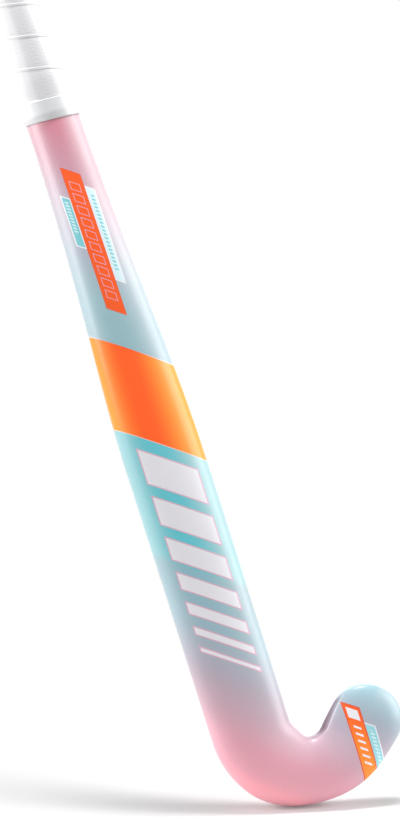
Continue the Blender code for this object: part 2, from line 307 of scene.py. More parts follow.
def toe_columns(inset):
    """Half sections swung round the toe's end, from its heel side to its inner side."""
    (x, z), (ax, az) = centreline(0.0)
    outer = half_section(0.0, inset)
    inner = half_section(0.0, inset, throat_chamfer(0.0))
    columns = []
    for step in range(1, TOE_TURN_STEPS):
        share = step / TOE_TURN_STEPS
        turn = share * math.pi
        dx = ax * math.cos(turn) - az * math.sin(turn)
        dz = az * math.cos(turn) + ax * math.sin(turn)
        column = [(a + (c - a) * share, b + (d - b) * share)
                  for (a, b), (c, d) in zip(outer, inner)]
        columns.append([place(x + dx * u, z + dz * u, -v) for u, v in column[1:-1]])
    return columns


def add_ring(mesh, points):
    return [mesh.verts.new(point) for point in points]


def bridge(mesh, first, second, slot=0):
    """Quads between two closed rings with the same number of vertices."""
    count = len(first)
    for i in range(count):
        j = (i + 1) % count
        face = mesh.faces.new((first[i], first[j], second[j], second[i]))
        face.material_index = slot


def close_toe(mesh, ring, columns, slot):
    """Closes the toe: the ring's two halves are joined by the columns between them."""
    half = len(ring) // 2
    back, face = ring[0], ring[half]
    sides = [ring[1:half]]
    sides += [add_ring(mesh, column) for column in columns]
    sides.append(ring[:half:-1])
    for near, far in zip(sides, sides[1:]):
        made = [mesh.faces.new((back, far[0], near[0])), mesh.faces.new((face, near[-1], far[-1]))]
        made += [mesh.faces.new((a, d, c, b))
                 for a, b, c, d in zip(near, near[1:], far[1:], far)]
        for patch in made:
            patch.material_index = slot


def stick_skin(mesh, inset, slot):
    """Surface of the whole stick, offset inwards by inset, open at the top of the handle."""
    toe = [TOE_RUN * step / TOE_RUN_STEPS for step in range(TOE_RUN_STEPS)]
    hook = [TOE_RUN + HOOK_LENGTH * step / HOOK_STEPS for step in range(HOOK_STEPS)]
    count = round((SHELL_TOP - HOOK_HEIGHT) / SHAFT_STEP)
    shaft = [run_at(HOOK_HEIGHT + (SHELL_TOP - HOOK_HEIGHT) * step / count)
             for step in range(count + 1)]
    rings = [add_ring(mesh, section_ring(run, inset)) for run in toe + hook + shaft]
    for low, high in zip(rings, rings[1:]):
        bridge(mesh, low, high, slot)
    close_toe(mesh, rings[0], toe_columns(inset), slot)
    return rings[-1]


def finish_piece(name, mesh, materials, replaced):
    """Turns a bmesh into a piece that stands for a node of the solid model."""
    bmesh.ops.recalc_face_normals(mesh, faces=mesh.faces)
    data = bpy.data.meshes.new(name)
    mesh.to_mesh(data)
    mesh.free()
    data.shade_smooth()
    data.set_sharp_from_angle(angle=SHARP_ANGLE)
    for material in materials:
        data.materials.append(material)
    piece = bpy.data.objects.new(name, data)
    bpy.context.scene.collection.objects.link(piece)
    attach(piece, "root")
    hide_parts(replaced)
    return piece


def handle_point(turn, height, grow):
    """Point round the handle: turn 0 is the middle of the back, a quarter turn the toe side."""
    run = run_at(height)
    across = (half_width(run) + grow) * math.sin(turn)
    back = handle_middle(height) + (depth(run) / 2 + grow) * math.cos(turn)
    return place(across, height, -back)


def grip_bottom():
    """The grip ends just above the finishing tape's slanted lower edge."""
    return COLLAR_HEIGHT + COLLAR_WIDTH / 2 * math.tan(FINISH_SLANT) + FINISH_LAP


def grip_share(height):
    """Share of its full thickness that the grip has: its lower end is cut thin."""
    least = GRIP_LEAST / GRIP_THICKNESS
    return least + (1 - least) * min(max((height - grip_bottom()) / GRIP_TAPER, 0.0), 1.0)


def strip_profile():
    """Section of the grip strip as (height above its lower edge, grow), a closed loop.

    The lower edge is skived thin and lies under the next turn, whose upper edge makes the bead.
    """
    base = CLEARANCE
    thick = CLEARANCE + GRIP_THICKNESS
    bead = thick + GRIP_BEAD
    width = GRIP_PITCH + GRIP_OVERLAP
    outer = [(0.0, base + SKIVED_TIP), (GRIP_OVERLAP - GRIP_EDGE, base + GRIP_SKIVE),
             (GRIP_OVERLAP, thick - GRIP_EDGE)]
    crown_start, crown_end = GRIP_OVERLAP + GRIP_EDGE, GRIP_PITCH - GRIP_EDGE
    for step in range(CROWN_STEPS + 1):
        share = step / CROWN_STEPS
        height = crown_start + (crown_end - crown_start) * share
        outer.append((height, thick - GRIP_PILLOW * (2 * share - 1) ** PILLOW_POWER))
    outer += [(GRIP_PITCH + GRIP_EDGE, bead - GRIP_EDGE * 0.2), (GRIP_PITCH + 2 * GRIP_EDGE, bead),
              (width - GRIP_EDGE, bead), (width, bead - GRIP_EDGE)]
    under = base + GRIP_SKIVE + CLEARANCE / 3
    inner = [(width, under), (GRIP_PITCH, under), (GRIP_PITCH - GRIP_EDGE, base), (0.0, base)]
    return outer + inner


def make_grip(material):
    """One strip of cushioned tape, wound down the handle without a break.

    Both its ends run out to a sliver, so no paint shows at the cap or above the finishing tape.
    Its lower edge crosses the middle of the back FIRST_SEAM_DROP below the top, then each pitch.
    """
    mesh = bmesh.new()
    profile = strip_profile()
    top, bottom = SHELL_TOP, grip_bottom()
    low_start = top - GRIP_END
    low_end = bottom + GRIP_END - GRIP_PITCH - GRIP_OVERLAP
    steps = round((low_start - low_end) / GRIP_PITCH * TURN_STEPS)
    rings = []
    for step in range(steps + 1):
        low = low_start + (low_end - low_start) * step / steps
        turn = (top - FIRST_SEAM_DROP - low) / GRIP_PITCH * 2 * math.pi
        points = []
        for up, grow in profile:
            height = min(max(low + up, bottom), top)
            thinned = CLEARANCE + (grow - CLEARANCE) * grip_share(height)
            points.append(handle_point(turn, height, thinned))
        rings.append(add_ring(mesh, points))
    for near, far in zip(rings, rings[1:]):
        bridge(mesh, near, far)
    mesh.faces.new(rings[0])
    mesh.faces.new(rings[-1])
    return finish_piece("wound_grip", mesh, [material], "grip_tape")


def make_finishing_tape(material):
    """Thin tape over the grip's lower end, from the paint up a smooth slope, with slanted edges."""
    mesh = bmesh.new()
    drop = COLLAR_WIDTH / 2 * math.tan(FINISH_SLANT)
    below_grip = grip_bottom() - CLEARANCE
    top = COLLAR_HEIGHT + FINISH_WIDTH

    def ring(height, rise, thickness):
        """Ring of the tape. rise is 0 where it lies on the paint and 1 where it covers the grip."""
        slanted = max(1 - rise, (height - below_grip) / (top - below_grip))
        points = []
        for step in range(TURN_STEPS):
            turn = step / TURN_STEPS * 2 * math.pi
            level = height - drop * math.sin(turn) * slanted
            over_grip = 2 * CLEARANCE + GRIP_THICKNESS * grip_share(level)
            under = PAINT_GAP + (over_grip - PAINT_GAP) * rise
            points.append(handle_point(turn, level, under + thickness))
        return add_ring(mesh, points)

    shares = [step / SLOPE_STEPS for step in range(SLOPE_STEPS + 1)]
    places = [(COLLAR_HEIGHT + (below_grip - COLLAR_HEIGHT) * share, share) for share in shares]
    places += [(below_grip + (top - below_grip) * share, 1.0) for share in shares[1:]]
    edge = FINISH_THICKNESS / 2
    inside = [ring(height, rise, 0.0) for height, rise in places]
    outside = [ring(COLLAR_HEIGHT, 0.0, edge), ring(COLLAR_HEIGHT + edge, 0.0, FINISH_THICKNESS)]
    outside += [ring(height, rise, FINISH_THICKNESS) for height, rise in places[1:-1]]
    outside += [ring(top - edge, 1.0, FINISH_THICKNESS), ring(top, 1.0, edge)]
    for rings in (inside, outside):
        for low, high in zip(rings, rings[1:]):
            bridge(mesh, low, high)
    bridge(mesh, inside[0], outside[0])
    bridge(mesh, inside[-1], outside[-1])
    return finish_piece("collar_tape", mesh, [material], "finishing_tape")


def make_butt_cap(material):
    """Moulded cap with a rounded rim and a shallow dish in its end."""
    mesh = bmesh.new()
    snug = -WALL - CLEARANCE
    wide = CLEARANCE + GRIP_THICKNESS
    under = OVERALL_LENGTH - CAP_THICKNESS
    lead = CLEARANCE * 2
    profile = [(under - SPIGOT_LENGTH, snug - lead), (under - SPIGOT_LENGTH + lead, snug),
               (under, snug), (under, wide - lead), (under + lead, wide)]
    for step in range(FILLET_STEPS + 1):
        turn = step / FILLET_STEPS * math.pi / 2
        profile.append((OVERALL_LENGTH - CAP_FILLET * (1 - math.sin(turn)),
                        wide - CAP_FILLET * (1 - math.cos(turn))))
    dish_edge = wide - CAP_FILLET - CAP_RIM
    for step in range(DISH_STEPS + 1):
        share = step / DISH_STEPS
        profile.append((OVERALL_LENGTH - DISH_DEPTH * ease(share), dish_edge - DISH_SLOPE * share))
    profile.append((OVERALL_LENGTH - DISH_DEPTH, dish_edge - DISH_FLAT))
    rings = [add_ring(mesh, [handle_point(step / TURN_STEPS * 2 * math.pi, height, grow)
                             for step in range(TURN_STEPS)]) for height, grow in profile]
    for low, high in zip(rings, rings[1:]):
        bridge(mesh, low, high)
    mesh.faces.new(rings[0])
    mesh.faces.new(rings[-1])
    return finish_piece("end_cap", mesh, [material], "butt_cap")


def make_shell(paint, laminate):
    """Hollow painted shell: a smooth outer skin, the bare laminate inside and at the top."""
    mesh = bmesh.new()
    outside = stick_skin(mesh, 0.0, 0)
    inside = stick_skin(mesh, WALL, 1)
    bridge(mesh, outside, inside, 1)
    return finish_piece("painted_shell", mesh, [paint, laminate], "outer_shell")


def colour(red, green, blue):
    """Linear colour of a screen colour given in steps of 255."""
    def linear(value):
        value /= 255
        return value / 12.92 if value <= 0.04045 else ((value + 0.055) / 1.055) ** 2.4
    return (linear(red), linear(green), linear(blue), 1.0)


class Nodes:
    """Builds a material's nodes: each method adds one and returns its output."""

    def __init__(self, name, roughness, **settings):
        self.material = bpy.data.materials.new(name)
        self.material.use_nodes = True
        self.tree = self.material.node_tree
        self.shader = self.tree.nodes["Principled BSDF"]
        self.shader.inputs["Roughness"].default_value = roughness
        for socket, value in settings.items():
            self.shader.inputs[socket.replace("_", " ")].default_value = value
        coordinates = self.add("ShaderNodeTexCoord")
        self.position = coordinates.outputs["Object"]
        self.normal = coordinates.outputs["Normal"]

    def add(self, kind, **settings):
        node = self.tree.nodes.new(kind)
        for key, value in settings.items():
            setattr(node, key, value)
        return node

    def put(self, socket, value):
        """Links an output to a socket, or sets the socket to a plain value."""
        if isinstance(value, bpy.types.NodeSocket):
            self.tree.links.new(value, socket)
        else:
            socket.default_value = value

    def feed(self, name, value):
        """Links an output to a socket of the shader, or sets the socket."""
        self.put(self.shader.inputs[name], value)

    def math(self, operation, *values):
        node = self.add("ShaderNodeMath", operation=operation)
        for socket, value in zip(node.inputs, values):
            self.put(socket, value)
        return node.outputs[0]

    def axes(self, vector):
        node = self.add("ShaderNodeSeparateXYZ")
        self.put(node.inputs[0], vector)
        return node.outputs

    def flat_on(self):
        """1 along the middle of the back and of the playing face, 0 round the sides."""
        return self.span(self.math("ABSOLUTE", self.axes(self.normal)[1]), 0.90, 1.0)

    def mix(self, share, first, second):
        node = self.add("ShaderNodeMix", data_type="RGBA")
        self.put(node.inputs["Factor"], share)
        self.put(node.inputs["A"], first)
        self.put(node.inputs["B"], second)
        return node.outputs["Result"]

    def span(self, value, low, high, to_low=0.0, to_high=1.0):
        """Smooth step of value from low to high."""
        node = self.add("ShaderNodeMapRange", interpolation_type="SMOOTHSTEP")
        for socket, number in zip(node.inputs, (value, low, high, to_low, to_high)):
            self.put(socket, number)
        return node.outputs[0]

    def noise(self, scale, detail=2.0, vector=None):
        node = self.add("ShaderNodeTexNoise")
        self.put(node.inputs["Vector"], vector or self.position)
        node.inputs["Scale"].default_value = scale
        node.inputs["Detail"].default_value = detail
        return node.outputs["Fac"]

    def ramp(self, value, stops):
        node = self.add("ShaderNodeValToRGB")
        self.put(node.inputs[0], value)
        elements = node.color_ramp.elements
        while len(elements) < len(stops):
            elements.new(0.5)
        for element, (place_at, shade) in zip(elements, stops):
            element.position = place_at
            element.color = shade
        return node.outputs["Color"]

    def bump(self, height, distance, strength=1.0, normal=None):
        node = self.add("ShaderNodeBump")
        node.inputs["Strength"].default_value = strength
        node.inputs["Distance"].default_value = distance
        self.put(node.inputs["Height"], height)
        if normal:
            self.put(node.inputs["Normal"], normal)
        return node.outputs["Normal"]


# Fine grains and blotches, in features per metre, and the pitch of the laminate's weave
FLECK_SCALE, RUB_SCALE, PEEL_SCALE = 2600.0, 60.0, 420.0
TOW_WIDTH, RESIN_SCALE = 0.0018, 300.0
CELL_SCALE, FOAM_BLOTCH_SCALE = 1400.0, 90.0
PEBBLE_SCALE, SOIL_SCALE, DIMPLE_SCALE = 1900.0, 55.0, 130.0
WRINKLE_SCALE, WRINKLE_STRETCH = 110.0, (1.0, 1.0, 5.0)
SPARK_SCALE, CAP_BLOTCH_SCALE = 2400.0, 80.0

# Tones. The grip and the tape are painted in shade where they face straight back or forward.
TOW_DARK, TOW_SHEEN = colour(24, 24, 26), colour(62, 63, 68)
CORE_LIGHT, CORE_DARK = colour(236, 224, 190), colour(214, 198, 158)
PLUG_LIGHT, PLUG_DARK = colour(228, 218, 196), colour(202, 190, 164)
GRIP_WORN, GRIP_CLEAN = colour(229, 229, 231), colour(237, 237, 238)
GRIP_SHADED_MIDDLE, HOLE_SHADE_TONE = colour(214, 214, 216), colour(200, 200, 203)
TAPE_DULL, TAPE_BRIGHT = colour(232, 233, 234), colour(240, 240, 241)
TAPE_SHADED_MIDDLE = colour(219, 220, 222)
CAP_DULL, CAP_BRIGHT = colour(222, 222, 224), colour(231, 231, 232)

# Perforations of the grip: their pitch, and the radii of floor and rim as shares of it. The
# holes are painted in shade by HOLE_SHADE.
HOLE_PITCH = 0.0024
HOLE_FLOOR, HOLE_RIM = 0.10, 0.18
HOLE_SHADE = 0.20

# Paint: colours as they are on the stick, and painted light. The airbrushed coat changes up the
# stick and pales towards the rims, partly in its airbrushing and partly as a painted highlight:
# (height, colour along the middle, colour at the rims)
COAT = [
    (0.015, colour(255, 162, 172), colour(255, 176, 188)),
    (0.024, colour(234, 162, 176), colour(246, 174, 188)),
    (0.045, colour(224, 160, 175), colour(232, 176, 190)),
    (0.062, colour(206, 166, 181), colour(206, 172, 184)),
    (0.085, colour(184, 173, 187), colour(184, 176, 187)),
    (0.115, colour(158, 189, 201), colour(172, 194, 202)),
    (0.150, colour(146, 193, 205), colour(174, 196, 203)),
    (0.315, colour(157, 193, 201), colour(184, 203, 210)),
    (0.345, colour(175, 184, 199), colour(194, 204, 210)),
    (0.380, colour(196, 174, 190), colour(208, 194, 202)),
    (0.405, colour(208, 153, 170), colour(216, 185, 193)),
    (0.434, colour(213, 134, 149), colour(220, 187, 195)),
]
# Painted shade, laid on the toe's flank and under the finishing tape's lower edge
PAINTED_SHADE = colour(118, 92, 110)
# The teal and the orange pale towards the rims, partly as a painted highlight
TEAL, TEAL_RIM_HIGHLIGHT = colour(102, 204, 215), colour(170, 208, 212)
ORANGE, ORANGE_RIM_HIGHLIGHT = colour(255, 92, 12), colour(250, 162, 48)
RED_ORANGE, AMBER = colour(226, 78, 36), colour(255, 142, 24)
WHITE_INK = colour(240, 238, 244)
PINK_INK = colour(226, 178, 200)
TEAL_INK = colour(124, 204, 212)
TOE_TEAL_INK = colour(152, 214, 223)
PALE_TEAL_INK = colour(216, 242, 247)

# Airbrushed coat: its colours slope down to the toe side by DRIFT times x, with soft clouds. Its
# middle colour lies a little to the heel side.
DRIFT = 0.90
CLOUD_SCALE, CLOUD_REACH = 14.0, 0.014
RIM_SHIFT = 0.20
RIM_START = 0.1

# The coat is painted in shade on the toe's flank, inside the crease, and a painted highlight
# runs along the crease's edge. A run is a distance from the toe along the centreline.
SHADED_RUN, SHADE_END_RUN = 0.036, 0.056
THROAT_HALF_WIDTH = 0.0213
THROAT_FADE, TOE_FADE = 0.006, 0.008
FLANK_WIDTH = 0.0022
FLANK_SHADE_AT_CREASE, FLANK_SHADE_AT_RIM = 0.35, 0.95
CREASE_LINE = 0.00045
CREASE_PALE_RUN, CREASE_END_RUN = 0.018, 0.028
CREASE_HIGHLIGHT = 0.40

# Places of the printed patterns. A slanted height is the height plus SLANT times x, so each
# slanted edge lies at one slanted height. A border is SLANTED_BORDER times as wide there.
SLANT = 0.74
SLANTED_BORDER = 1.25
INK_EDGE = 0.00012
KEYLINE = 0.0007
# Strength of a faint painted glow that brightens the orange band
BAND_GLOW = 0.15
BAND_TOP, BAND_BOTTOM = 0.2908, 0.2320
TEAL_END, TEAL_FADE = 0.1537, 0.004
BARS_TOP = 0.2235
BAR_HALF_WIDTH = 0.0158
BAR_HEIGHTS = [0.0225, 0.0185, 0.0150, 0.0115, 0.0085, 0.0060, 0.0040]
BAR_GAP = 0.0068

# Labels and what is printed on them: (left, right, low, high), as x and as slanted heights. The
# toe's labels run down to the sole's edge.
SMALL_LABEL = (-0.0118, -0.0066, 0.3505, 0.3822)
SMALL_LABEL_STROKES = (-0.0102, -0.0084, 0.3590, 0.3790)
PALE_LABEL = (0.0036, 0.0092, 0.3358, 0.3948)
PALE_LABEL_STROKES = (0.0056, 0.0074, 0.3420, 0.3900)
MAIN_LABEL = (-0.0067, 0.0036, 0.3138, 0.4017)
MAIN_LABEL_OUTLINES = (-0.0044, 0.0012, 0.3215, 0.3965)
BELOW_SOLE = -0.1
TOE_TEAL_LABEL = (0.0640, 0.0710, BELOW_SOLE, 0.0860)
TOE_TEAL_STROKES = (0.0670, 0.0690, 0.0540, 0.0820)
TOE_LABEL = (0.0556, 0.0652, BELOW_SOLE, 0.0952)
TOE_AMBER_START, TOE_AMBER_END = 0.096, 0.056
TOE_PLATE = (0.0574, 0.0634, 0.0860, 0.0925)
TOE_STROKES = (0.0584, 0.0624, 0.0560, 0.0830)

# Repeats of a stroke up a label: (slanted height of the first, pitch, start and end in the pitch)
SMALL_STROKE = (0.0, 0.0020, 0.0, 0.0011)
STROKE = (0.0, 0.0024, 0.0, 0.0012)
TOE_STROKE = (0.0560, 0.0045, 0.0015, 0.0030)
OUTLINE = (0.3215, 0.0075, 0.0, 0.0052)
OUTLINE_LINE = 0.00035

# Shade under the finishing tape's lower edge
TAPE_SHADE_START, TAPE_SHADE_END = 0.0012, 0.0002
TAPE_SHADE = 0.45


def shrunk(place_on, border):
    """Place of a panel inside a border on all sides of another."""
    left, right, low, high = place_on
    at_ends = border * SLANTED_BORDER
    return left + border, right - border, low + at_ends, high - at_ends


class Paint(Nodes):
    """Adds places along and across the stick, and prints patterns on the shade so far."""

    def __init__(self, name, roughness, **settings):
        super().__init__(name, roughness, **settings)
        self.shade = None
        self.x, _, up = self.axes(self.position)
        self.height = self.math("ADD", up, HOLD_HEIGHT)
        self.slanted = self.math("ADD", self.height, self.math("MULTIPLY", self.x, SLANT))
        self.on_back = self.span(self.axes(self.normal)[1], -0.06, 0.0, 1.0, 0.0)
        self.find_centreline()

    def find_centreline(self):
        """Sets three lengths from a point's place beside the hook or on a straight part.

        reach is its distance from the hook's centre, or the same across the straight parts. along
        is how far it is past the hook's end, down the toe. run is its distance from the toe.
        """
        _, (across_x, across_z) = centreline(0.0)
        beside = self.math("SUBTRACT", self.x, HOOK_RADIUS)
        toe_side = self.math("GREATER_THAN", beside, 0.0)
        rise = self.math("MINIMUM", self.math("SUBTRACT", self.height, HOOK_HEIGHT), toe_side)
        across = self.blend_of(beside, across_x, rise, across_z)
        self.along = self.blend_of(beside, -across_z, rise, across_x)
        turned = self.length_of(beside, rise)
        on_toe = self.math("GREATER_THAN", self.along, 0.0)
        straight = self.math("MULTIPLY", on_toe, self.math("SUBTRACT", across, turned))
        self.reach = self.math("ADD", turned, straight)
        back_along = self.math("MULTIPLY", self.along, -1.0)
        swept = self.math("MAXIMUM", self.math("ARCTAN2", back_along, across), 0.0)
        bent = self.math("MULTIPLY", swept, HOOK_RADIUS)
        past = self.math("MAXIMUM", self.along, 0.0)
        self.run = self.math("ADD", self.math("SUBTRACT", bent, past), TOE_RUN)

    def blend_of(self, first, first_share, second, second_share):
        return self.math("ADD", self.math("MULTIPLY", first, first_share),
                         self.math("MULTIPLY", second, second_share))

    def length_of(self, first, second):
        return self.math("SQRT", self.math("ADD", self.math("MULTIPLY", first, first),
                                           self.math("MULTIPLY", second, second)))

    def rim(self):
        """0 along the middle of the shaft and of the hook, 1 at their rims, 0 in the throat."""
        # This mask carries the rims' paler colour, which is partly a painted highlight; the throat
        # is left without it.
        half = self.span(self.height, TAPER_START, COLLAR_HEIGHT, SHAFT_WIDTH / 2, COLLAR_WIDTH / 2)
        out = self.math("SUBTRACT", self.reach, HOOK_RADIUS)
        shifted = self.math("SUBTRACT", out, self.math("MULTIPLY", half, RIM_SHIFT))
        beyond = self.math("MAXIMUM", self.math("SUBTRACT", self.along, TOE_RUN), 0.0)
        share = self.math("DIVIDE", self.length_of(shifted, beyond), half)
        inside = self.math("MULTIPLY", self.span(out, 0.0, -THROAT_FADE), self.toeward())
        return self.math("MULTIPLY", self.span(share, RIM_START, 1.0),
                         self.math("SUBTRACT", 1.0, inside))

    def toeward(self):
        """1 on the toe, 0 on the shaft, with a soft change under the throat."""
        return self.span(self.run, SHADE_END_RUN, SHADED_RUN)

    def from_crease(self):
        """Distance from the toe's crease towards its inner rim."""
        rim = self.math("SUBTRACT", self.reach, HOOK_RADIUS - THROAT_HALF_WIDTH)
        width = self.span(self.run, 0.0, BROADEST_CHAMFER_RUN, TOE_CHAMFER, THROAT_CHAMFER)
        return self.math("SUBTRACT", width, rim)

    def between(self, value, low, high):
        """1 where value is between low and high, with an edge as sharp as a print's."""
        up = self.span(value, low - INK_EDGE, low + INK_EDGE)
        down = self.span(value, high - INK_EDGE, high + INK_EDGE, 1.0, 0.0)
        return self.math("MULTIPLY", up, down)

    def repeats(self, start, pitch, low, high):
        """1 between low and high in each pitch of the slanted height."""
        place_in = self.math("FLOORED_MODULO", self.math("SUBTRACT", self.slanted, start), pitch)
        return self.between(place_in, low, high)

    def lay(self, mask, ink):
        """Lays an ink over the shade so far where the mask is 1."""
        self.shade = self.mix(mask, self.shade, ink)

    def print_panel(self, place_on, ink, repeat=None):
        """Prints a parallelogram on the back, all over or only its repeated strokes."""
        left, right, low, high = place_on
        mask = self.math("MULTIPLY", self.between(self.x, left, right),
                         self.between(self.slanted, low, high))
        mask = self.math("MULTIPLY", mask, self.on_back)
        if repeat:
            mask = self.math("MULTIPLY", mask, self.repeats(*repeat))
        self.lay(mask, ink)

    def print_framed(self, place_on, border, frame_ink, ink):
        """Prints a parallelogram inside a thin frame of another ink."""
        self.print_panel(place_on, frame_ink)
        self.print_panel(shrunk(place_on, border), ink)


def airbrush_and_rim_highlight(g, rim):
    """The coat's gradient up the stick, and its paler rims, which are partly painted highlight."""
    cloud = g.math("SUBTRACT", g.noise(CLOUD_SCALE, 3.0), 0.5)
    drifted = g.math("ADD", g.height, g.math("MULTIPLY", g.x, DRIFT))
    drifted = g.math("ADD", drifted, g.math("MULTIPLY", cloud, CLOUD_REACH))
    share = g.math("DIVIDE", drifted, OVERALL_LENGTH)
    middle = g.ramp(share, [(level / OVERALL_LENGTH, shade) for level, shade, _ in COAT])
    edge = g.ramp(share, [(level / OVERALL_LENGTH, shade) for level, _, shade in COAT])
    g.shade = g.mix(rim, middle, edge)


def shade_throat(g):
    """Painted shade on the flank inside the toe's crease, and a painted highlight along the crease.
    """
    from_crease = g.from_crease()
    near_toe = g.math("MULTIPLY", g.toeward(), g.span(g.along, TOE_RUN + TOE_FADE, TOE_RUN))
    darkness = g.span(from_crease, 0.0, FLANK_WIDTH, FLANK_SHADE_AT_CREASE, FLANK_SHADE_AT_RIM)
    flank = g.math("MULTIPLY", near_toe, darkness)
    flank = g.math("MULTIPLY", flank, g.span(from_crease, -INK_EDGE, INK_EDGE))
    g.lay(flank, PAINTED_SHADE)
    # Painted highlight along the toe's crease, in white
    crease = g.math("MULTIPLY", g.between(from_crease, -CREASE_LINE, CREASE_LINE / 3), near_toe)
    highlight = g.span(g.run, CREASE_END_RUN, CREASE_PALE_RUN, 0.0, CREASE_HIGHLIGHT)
    g.lay(g.math("MULTIPLY", crease, highlight), WHITE_INK)


def print_band(g, rim):
    """Teal area and the slanted orange band over it. Returns the band's mask."""
    teal = g.math("MULTIPLY", g.span(g.slanted, TEAL_END - TEAL_FADE, TEAL_END + TEAL_FADE),
                  g.span(g.slanted, BAND_TOP - INK_EDGE, BAND_TOP + INK_EDGE, 1.0, 0.0))
    # Teal and orange pale towards the rims, partly as a painted highlight, and the top line turns
    # white there.
    g.lay(teal, g.mix(rim, TEAL, TEAL_RIM_HIGHLIGHT))
    g.lay(g.between(g.slanted, BAND_BOTTOM - KEYLINE / 2, BAND_TOP), WHITE_INK)
    band = g.between(g.slanted, BAND_BOTTOM, BAND_TOP)
    g.lay(band, g.mix(rim, ORANGE, ORANGE_RIM_HIGHLIGHT))
    top_line = g.between(g.slanted, BAND_TOP - KEYLINE / 3, BAND_TOP + KEYLINE / 3)
    g.lay(top_line, g.mix(rim, RED_ORANGE, WHITE_INK))
    return band


def print_outlines(g):
    """Row of thin outlined parallelograms on the main label."""
    start, pitch, low, high = OUTLINE
    left, right, bottom, top = MAIN_LABEL_OUTLINES
    at_ends = OUTLINE_LINE * SLANTED_BORDER
    inside = (left + OUTLINE_LINE, right - OUTLINE_LINE, bottom, top)
    g.print_panel(MAIN_LABEL_OUTLINES, PINK_INK, OUTLINE)
    g.print_panel(inside, ORANGE, (start, pitch, low + at_ends, high - at_ends))


def print_labels(g):
    """Plain labels below the collar and on the toe, and the row of bars between them."""
    g.print_framed(SMALL_LABEL, KEYLINE, WHITE_INK, TEAL_INK)
    g.print_panel(SMALL_LABEL_STROKES, PALE_TEAL_INK, SMALL_STROKE)
    g.print_framed(PALE_LABEL, KEYLINE, WHITE_INK, PALE_TEAL_INK)
    g.print_panel(PALE_LABEL_STROKES, TEAL_INK, STROKE)
    g.print_framed(MAIN_LABEL, KEYLINE / 2, RED_ORANGE, ORANGE)
    print_outlines(g)
    top = BARS_TOP
    for height in BAR_HEIGHTS:
        bar = (-BAR_HALF_WIDTH, BAR_HALF_WIDTH, top - height, top)
        g.print_framed(bar, KEYLINE, PINK_INK, WHITE_INK)
        top -= height + BAR_GAP
    g.print_framed(TOE_TEAL_LABEL, KEYLINE, WHITE_INK, TOE_TEAL_INK)
    g.print_panel(TOE_TEAL_STROKES, PALE_TEAL_INK, STROKE)
    amber = g.mix(g.span(g.slanted, TOE_AMBER_START, TOE_AMBER_END), ORANGE, AMBER)
    g.print_framed(TOE_LABEL, KEYLINE, RED_ORANGE, amber)
    g.print_panel(TOE_PLATE, WHITE_INK)
    g.print_panel(TOE_STROKES, WHITE_INK, TOE_STROKE)


def make_paint():
    """Satin lacquer over an airbrushed gradient, with a slanted band, printed panels and painted
    light.
    """
    g = Paint("stick_paint", 0.45, Coat_Weight=0.25, Coat_Roughness=0.20)
    rim = g.rim()
    airbrush_and_rim_highlight(g, rim)
    shade_throat(g)
    band = print_band(g, rim)
    print_labels(g)
    # Painted shadow under the finishing tape's lower edge
    lap = g.math("ADD", g.height, g.math("MULTIPLY", g.x, math.tan(FINISH_SLANT)))
    g.lay(g.span(lap, COLLAR_HEIGHT - TAPE_SHADE_START, COLLAR_HEIGHT - TAPE_SHADE_END,
                 0.0, TAPE_SHADE), PAINTED_SHADE)
    flecked = g.add("ShaderNodeMix", data_type="RGBA", blend_type="MULTIPLY")
    flecked.inputs["Factor"].default_value = 1.0
    g.put(flecked.inputs["A"], g.shade)
    g.put(flecked.inputs["B"], g.span(g.noise(FLECK_SCALE, 1.0), 0.35, 0.75, 0.97, 1.03))
    g.feed("Base Color", flecked.outputs["Result"])
    # The orange band is given a faint painted glow.
    g.feed("Emission Color", g.mix(band, colour(0, 0, 0), ORANGE))
    g.feed("Emission Strength", BAND_GLOW)
    g.feed("Roughness", g.span(g.noise(RUB_SCALE, 4.0), 0.3, 0.8, 0.42, 0.48))
    g.feed("Normal", g.bump(g.noise(PEEL_SCALE, 2.0), 0.00002, 0.6))
    return g.material


def make_laminate(name):
    """Bare carbon laminate: a two-by-two twill under resin."""
    g = Nodes(name, 0.42, Coat_Weight=0.4, Coat_Roughness=0.2)
    x, y, z = g.axes(g.position)
    across = g.math("DIVIDE", g.math("ADD", x, y), TOW_WIDTH)
    up = g.math("DIVIDE", z, TOW_WIDTH)
    diagonal = g.math("MODULO", g.math("ADD", g.math("FLOOR", across), g.math("FLOOR", up)), 4.0)
    over = g.math("LESS_THAN", g.math("ABSOLUTE", diagonal), 1.5)
    strand = g.math("ABSOLUTE", g.math("SINE", g.math("MULTIPLY", across, math.pi)))
    weft = g.math("ABSOLUTE", g.math("SINE", g.math("MULTIPLY", up, math.pi)))
    # The tows are painted lighter along their crowns and darker between them: painted sheen and
    # shade
    crown = g.math("ADD", g.math("MULTIPLY", strand, over),
                   g.math("MULTIPLY", weft, g.math("SUBTRACT", 1.0, over)))
    g.feed("Base Color", g.mix(crown, TOW_DARK, TOW_SHEEN))
    g.feed("Roughness", g.span(g.noise(RESIN_SCALE, 2.0), 0.3, 0.7, 0.36, 0.5))
    g.feed("Normal", g.bump(crown, 0.0001, 0.7))
    return g.material


def make_foam(name, light, dark):
    """Rigid foam with fine closed cells."""
    g = Nodes(name, 0.9)
    cells = g.add("ShaderNodeTexVoronoi", feature="DISTANCE_TO_EDGE")
    g.put(cells.inputs["Vector"], g.position)
    cells.inputs["Scale"].default_value = CELL_SCALE
    edge = g.span(cells.outputs["Distance"], 0.0, 0.12)
    tone = g.mix(g.noise(FOAM_BLOTCH_SCALE, 3.0), dark, light)
    g.feed("Base Color", g.mix(edge, dark, tone))
    g.feed("Roughness", g.span(edge, 0.0, 1.0, 0.95, 0.85))
    g.feed("Normal", g.bump(edge, 0.00015, 0.8))
    return g.material


